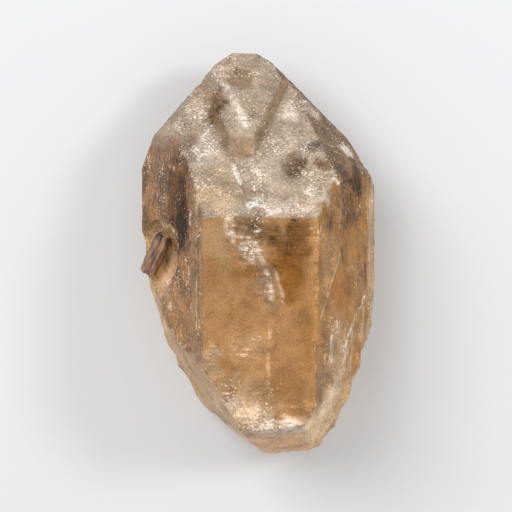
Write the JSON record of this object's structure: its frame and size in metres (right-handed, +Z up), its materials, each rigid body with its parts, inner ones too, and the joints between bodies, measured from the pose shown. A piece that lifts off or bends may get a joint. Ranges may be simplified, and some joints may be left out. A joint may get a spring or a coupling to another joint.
{
  "type": "citrine crystal point",
  "caption": "Natural smoky citrine point, a six-sided quartz crystal with a stepped tip and a broken base, lying on a prism face as a display mineral.",
  "frame": {"origin": "centre of the bounding box in plan, on the plane of the resting face", "axes": "+Y along the crystal's long axis towards the tip, +Z up out of the front prism face, +X to the right of it"},
  "size_m": [0.0634, 0.1086, 0.05],
  "materials": {
    "citrine": "natural growth faces, part glassy and part frosted, with hackly broken surfaces"
  },
  "bodies": {
    "root": {"crystal_point": "citrine"}
  },
  "joints": []
}
